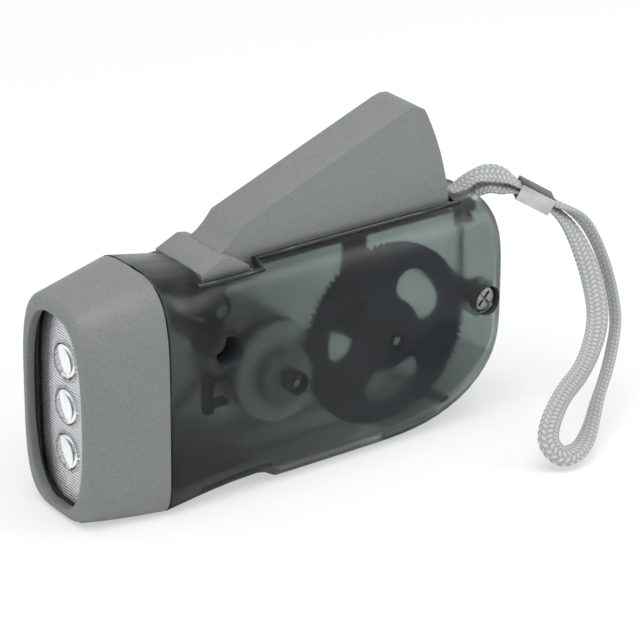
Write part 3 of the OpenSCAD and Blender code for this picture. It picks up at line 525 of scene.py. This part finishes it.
class LAMP_OT_stage(bpy.types.Operator):
    """Makes the camera, the floor and the lights"""

    bl_idname = "lamp.stage"
    bl_label = "Stage"

    def execute(self, context):
        stage = context.scene.lamp_stage
        context.scene.view_settings.view_transform = "Standard"
        self.camera(context, stage)
        self.lights(context, stage)
        self.world(context, stage)
        self.floor(context)
        return {"FINISHED"}

    def camera(self, context, stage):
        """The camera, turned to the place that it looks at."""
        level = math.cos(stage.elevation)
        back = Vector((math.sin(stage.azimuth) * level, -math.cos(stage.azimuth) * level,
                       math.sin(stage.elevation)))
        lens = bpy.data.cameras.new("camera")
        lens.lens = stage.lens
        lens.sensor_width = SENSOR_WIDTH
        lens.shift_x = stage.shift_x
        lens.shift_y = stage.shift_y
        camera = bpy.data.objects.new("camera", lens)
        camera.location = AIM + back * stage.distance
        camera.rotation_euler = back.to_track_quat("Z", "Y").to_euler()
        context.scene.collection.objects.link(camera)
        context.scene.camera = camera

    def lights(self, context, stage):
        """The area lights."""
        for name, place, size, setting in SOFTBOXES:
            light = bpy.data.lights.new(name, "AREA")
            light.shape = "RECTANGLE"
            light.size, light.size_y = size
            light.energy = getattr(stage, setting)
            thing = bpy.data.objects.new(name, light)
            thing.location = place
            thing.rotation_euler = (Vector(place) - AIM).to_track_quat("Z", "Y").to_euler()
            context.scene.collection.objects.link(thing)

    def world(self, context, stage):
        """A white background that lights the lamp with a fainter, cooler light."""
        world = bpy.data.worlds.new("studio")
        world.use_nodes = True
        nodes, links = world.node_tree.nodes, world.node_tree.links
        shown = nodes["Background"]
        shown.inputs["Color"].default_value = WHITE
        light = nodes.new("ShaderNodeBackground")
        light.inputs["Color"].default_value = SKY_COLOUR
        light.inputs["Strength"].default_value = stage.world
        mix = nodes.new("ShaderNodeMixShader")
        links.new(seen_rays(world.node_tree, *WORLD_WHITE), mix.inputs["Fac"])
        links.new(light.outputs["Background"], mix.inputs[1])
        links.new(shown.outputs["Background"], mix.inputs[2])
        links.new(mix.outputs["Shader"], nodes["World Output"].inputs["Surface"])
        context.scene.world = world

    def floor(self, context):
        """A pale floor that is partly plain white, so that it meets the background without an edge."""
        bm = bmesh.new()
        bmesh.ops.create_grid(bm, x_segments=1, y_segments=1, size=FLOOR_HALF)
        mesh = bpy.data.meshes.new("floor")
        bm.to_mesh(mesh)
        bm.free()
        material, tree, shader = new_material("pale_floor", colour=(0.99, 0.99, 0.99), roughness=0.8)
        glow = tree.nodes.new("ShaderNodeEmission")
        mix = tree.nodes.new("ShaderNodeMixShader")
        tree.links.new(seen_rays(tree, *FLOOR_WHITE), mix.inputs["Fac"])
        tree.links.new(shader.outputs["BSDF"], mix.inputs[1])
        tree.links.new(glow.outputs["Emission"], mix.inputs[2])
        tree.links.new(mix.outputs["Shader"], tree.nodes["Material Output"].inputs["Surface"])
        mesh.materials.append(material)
        floor = bpy.data.objects.new("floor", mesh)
        context.scene.collection.objects.link(floor)


class LAMP_OT_strap(bpy.types.Operator):
    """Makes the braided wrist strap"""

    bl_idname = "lamp.strap"
    bl_label = "Wrist strap"

    def execute(self, context):
        sizes = context.scene.lamp_sizes
        line, sides, squeeze = strap_route(sizes.strap_steps)
        run = 0.0
        runs = [run]
        for before, after in zip(line, line[1:]):
            run += (after - before).length
            runs.append(run)
        mesh = self.tape(sizes, line, sides, squeeze, runs)
        mesh.materials.append(self.braid(context.scene.lamp_colours.tape))
        strap = bpy.data.objects.new("wrist_strap", mesh)
        context.scene.collection.objects.link(strap)
        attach(strap, "case")
        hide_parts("strap")
        return {"FINISHED"}

    def tape(self, sizes, line, sides, squeeze, runs):
        """The tape's mesh: a ring of points at each point of the line, which keep their stitches' heights."""
        ring_sides = sizes.braid_columns * SIDES_PER_COLUMN
        bm = bmesh.new()
        rings = []
        heights = []
        for i, point in enumerate(line):
            along = tangent(line, i)
            side = across(sides[i], along)
            up = along.cross(side)
            half_thick = squeeze[i] * sizes.tape_thickness / 2
            ring = []
            for k in range(ring_sides):
                turn = 2 * math.pi * k / ring_sides
                height = stitch_height(runs[i] / sizes.braid_pitch, k / SIDES_PER_COLUMN)
                heights.append(height)
                sink = sizes.braid_depth * (height - 1)
                ring.append(bm.verts.new(point + (sizes.tape_width / 2 + sink) * math.cos(turn) * side
                                         + (half_thick + sink) * math.sin(turn) * up))
            rings.append(ring)
        for low, high in zip(rings, rings[1:]):
            for k in range(ring_sides):
                after = (k + 1) % ring_sides
                bm.faces.new((low[k], low[after], high[after], high[k])).smooth = True
        bm.faces.new(rings[0])
        bm.faces.new(list(reversed(rings[-1])))
        bmesh.ops.recalc_face_normals(bm, faces=bm.faces)
        mesh = bpy.data.meshes.new("wrist_strap")
        bm.to_mesh(mesh)
        bm.free()
        mesh.attributes.new("stitch", "FLOAT", "POINT").data.foreach_set("value", heights)
        return mesh

    def braid(self, colour):
        """Matt fibres with painted shade that darkens the grooves between the stitches."""
        material, tree, shader = new_material("braided_tape", colour, TAPE_ROUGHNESS)
        shader.inputs["Sheen Weight"].default_value = TAPE_SHEEN
        stitch = tree.nodes.new("ShaderNodeAttribute")
        stitch.attribute_name = "stitch"
        # painted shade: the colour darkens towards the grooves, by the stitches' heights
        mix = tree.nodes.new("ShaderNodeMix")
        mix.data_type = "RGBA"
        mix.inputs["A"].default_value = (*[GROOVE_PAINTED_SHADE * c for c in colour], 1)
        mix.inputs["B"].default_value = (*colour, 1)
        tree.links.new(stitch.outputs["Fac"], mix.inputs["Factor"])
        tree.links.new(mix.outputs["Result"], shader.inputs["Base Color"])
        add_grain(tree, shader, *TAPE_GRAIN)
        return material


class LAMP_OT_case(bpy.types.Operator):
    """Dresses the two smoked halves of the case"""

    bl_idname = "lamp.case"
    bl_label = "Case"

    def execute(self, context):
        colour = context.scene.lamp_colours.smoke
        wall = self.smoke("smoked_plastic", colour, SHELL_COAT)
        # the underside is the same smoked plastic, darker by painted shade
        under = self.smoke("smoked_underside", [UNDERSIDE_PAINTED_SHADE * c for c in colour], 0)
        # painted shade for the walls of recesses and bosses and for the rib
        shade_paint = plain_finish("smoked_recess")
        for node in ("left_shell", "right_shell"):
            shell = rounded_copy(node, "case", wall, context.scene.lamp_sizes.edge_round)
            shell.data.materials.append(shade_paint)
            shell.data.materials.append(under)
            for face in shell.data.polygons:
                # recesses, boss walls and the rib get painted shade
                if self.gets_painted_shade(face.center / MM, face.normal):
                    face.material_index = 1
                # faces that look down get the underside's painted shade
                elif face.normal.z < UNDERSIDE_SLOPE and face.center.z < UNDERSIDE_TOP * MM:
                    face.material_index = 2
        self.slot_rim(context)
        return {"FINISHED"}

    def smoke(self, name, colour, coat):
        """Smoked cloudy plastic with a fine satin grain."""
        material, tree, shader = new_material(name, colour, SMOKE_ROUGHNESS[0])
        shader.inputs["Transmission Weight"].default_value = 1.0
        shader.inputs["IOR"].default_value = SMOKE_IOR
        shader.inputs["Coat Weight"].default_value = coat
        shader.inputs["Coat Roughness"].default_value = COAT_ROUGHNESS
        self.tint(tree, shader, colour)
        add_range(tree, noise(tree, SMOKE_UNEVEN_SCALE), shader.inputs["Roughness"], *SMOKE_ROUGHNESS)
        add_grain(tree, shader, *SMOKE_GRAIN)
        return material

    def tint(self, tree, shader, colour):
        """The colour is darker towards the head, with a soft unevenness."""
        place = tree.nodes.new("ShaderNodeTexCoord")
        axes = tree.nodes.new("ShaderNodeSeparateXYZ")
        tree.links.new(place.outputs["Object"], axes.inputs["Vector"])
        ramp = tree.nodes.new("ShaderNodeMapRange")
        ramp.inputs["From Min"].default_value = TINT_START
        ramp.inputs["From Max"].default_value = TINT_END
        ramp.interpolation_type = "SMOOTHSTEP"
        tree.links.new(axes.outputs["X"], ramp.inputs["Value"])
        wave = tree.nodes.new("ShaderNodeMath")
        wave.operation = "MULTIPLY_ADD"
        wave.inputs[1].default_value = TINT_WAVER
        tree.links.new(noise(tree, TINT_WAVER_SCALE).outputs["Fac"], wave.inputs[0])
        tree.links.new(ramp.outputs["Result"], wave.inputs[2])
        mix = tree.nodes.new("ShaderNodeMix")
        mix.data_type = "RGBA"
        mix.inputs["A"].default_value = (*[TINT_AT_HEAD * c for c in colour], 1)
        mix.inputs["B"].default_value = (*colour, 1)
        tree.links.new(wave.outputs["Value"], mix.inputs["Factor"])
        tree.links.new(mix.outputs["Result"], shader.inputs["Base Color"])

    def gets_painted_shade(self, place, normal):
        """True on the near half's screw recesses, walls of bosses and rib, which get painted shade."""
        for x, z, radius in SCREW_RECESSES:
            if math.hypot(place.x - x, place.z - z) < radius and place.y < 0:
                return abs(normal.y) < RECESS_WALL or normal.y < 0 and place.y > RECESS_FLOOR
        for x, z, radius in BOSSES:
            if math.hypot(place.x - x, place.z - z) < radius and BOSS_ROOT < place.y < 0:
                return abs(normal.y) < BOSS_WALL
        low, high = RIB_BOX
        return all(low[i] < place[i] < high[i] for i in range(3))

    def slot_rim(self, context):
        """The thin dark bead round the lever's slot."""
        curve = bpy.data.curves.new("slot_rim", "CURVE")
        curve.dimensions = "3D"
        curve.bevel_depth = RIM_RADIUS * MM
        curve.bevel_resolution = RIM_RESOLUTION
        ring = SLOT_EDGE + [(distance, -place) for distance, place in reversed(SLOT_EDGE)]
        spline = curve.splines.new("POLY")
        spline.points.add(len(ring) - 1)
        for point, (distance, place) in zip(spline.points, ring):
            point.co = ((distance - HALF_LENGTH) * MM, place * MM, roof_at(distance, place) * MM, 1)
        spline.use_cyclic_u = True
        curve.materials.append(plain_finish("slot_rim"))
        rim = bpy.data.objects.new("slot_rim", curve)
        context.scene.collection.objects.link(rim)
        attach(rim, "case")


class LAMP_OT_grey(bpy.types.Operator):
    """Dresses the grey head and the grey lever"""

    bl_idname = "lamp.grey"
    bl_label = "Head and lever"

    def execute(self, context):
        material = finish_material("grey_plastic", context.scene.lamp_colours.grey, roughness=0.5,
                                   mottle=0.14, mottle_scale=2600, grain=(2400, 0.00008))
        radius = context.scene.lamp_sizes.edge_round
        rounded_copy("head_bezel", "case", material, radius)
        lever = rounded_copy("press_lever", "lever", material, radius)
        # the lever's faces inside the case are the same grey plastic with painted shade
        lever.data.materials.append(plain_finish("grey_inside"))
        for face in lever.data.polygons:
            if face.center.z < LEVER_INSIDE * MM:
                face.material_index = 1
        return {"FINISHED"}


class LAMP_OT_light(bpy.types.Operator):
    """Dresses the window, the reflector, the lamps and their board"""

    bl_idname = "lamp.light"
    bl_label = "Light unit"

    def execute(self, context):
        dress("window_lens", self.clear())
        dress("reflector", self.silvered(context.scene.lamp_colours.silver))
        dress_plainly(LIGHT_NODES)
        return {"FINISHED"}

    def clear(self):
        """Clear polished plastic."""
        material, tree, shader = new_material("clear_window", (0.97, 0.98, 0.98), WINDOW_ROUGHNESS[0])
        shader.inputs["Transmission Weight"].default_value = 1.0
        shader.inputs["IOR"].default_value = WINDOW_IOR
        add_range(tree, noise(tree, WINDOW_UNEVEN_SCALE), shader.inputs["Roughness"], *WINDOW_ROUGHNESS)
        return material

    def silvered(self, colour):
        """Bright metallised plastic with fine flutes."""
        material, tree, shader = new_material("silvered", colour, roughness=0.24, metallic=1.0)
        add_mottle(tree, shader, colour, amount=0.05, scale=500)
        place = tree.nodes.new("ShaderNodeTexCoord")
        flutes = tree.nodes.new("ShaderNodeTexWave")
        flutes.bands_direction = "Z"
        flutes.inputs["Scale"].default_value = FLUTE_SCALE
        flutes.inputs["Distortion"].default_value = FLUTE_WAVER
        tree.links.new(place.outputs["Object"], flutes.inputs["Vector"])
        bump = tree.nodes.new("ShaderNodeBump")
        bump.inputs["Distance"].default_value = FLUTE_DEPTH
        tree.links.new(flutes.outputs["Fac"], bump.inputs["Height"])
        tree.links.new(bump.outputs["Normal"], shader.inputs["Normal"])
        return material


class LAMP_OT_drive(bpy.types.Operator):
    """Dresses the gear train, the generator, the screws and the strap's crimp"""

    bl_idname = "lamp.drive"
    bl_label = "Gears and generator"

    def execute(self, context):
        dress_plainly(DRIVE_NODES)
        self.crimp()
        return {"FINISHED"}

    def crimp(self):
        """The crimp's bright sheet is darker on its upper face."""
        crimp = rounded_copy("strap_crimp", "case", plain_finish("bright_crimp"), CRIMP_ROUND)
        crimp.data.materials.append(plain_finish("tarnished_crimp"))
        for face in crimp.data.polygons:
            if face.normal.z > DARK_TOP_SLOPE:
                face.material_index = 1


class LAMP_PT_panel(bpy.types.Panel):
    """Lists the lamp's pieces"""

    bl_idname = "LAMP_PT_panel"
    bl_label = "Hand-press lamp"
    bl_space_type = "VIEW_3D"
    bl_region_type = "UI"
    bl_category = "Lamp"

    def draw(self, context):
        for operator in OPERATORS:
            self.layout.operator(operator.bl_idname)


OPERATORS = (LAMP_OT_stage, LAMP_OT_drive, LAMP_OT_strap, LAMP_OT_case, LAMP_OT_grey, LAMP_OT_light)
GROUPS = {"lamp_colours": LampColours, "lamp_sizes": LampSizes, "lamp_stage": LampStage}


def register():
    for group in (*GROUPS.values(), *OPERATORS, LAMP_PT_panel):
        bpy.utils.register_class(group)
    for name, group in GROUPS.items():
        setattr(bpy.types.Scene, name, PointerProperty(type=group))


def unregister():
    for name in GROUPS:
        delattr(bpy.types.Scene, name)
    for group in (LAMP_PT_panel, *reversed(OPERATORS), *GROUPS.values()):
        bpy.utils.unregister_class(group)


def main():
    register()
    bpy.ops.lamp.stage()
    bpy.ops.lamp.drive()
    bpy.ops.lamp.strap()
    bpy.ops.lamp.case()
    bpy.ops.lamp.grey()
    bpy.ops.lamp.light()


if __name__ == "__main__":
    main()
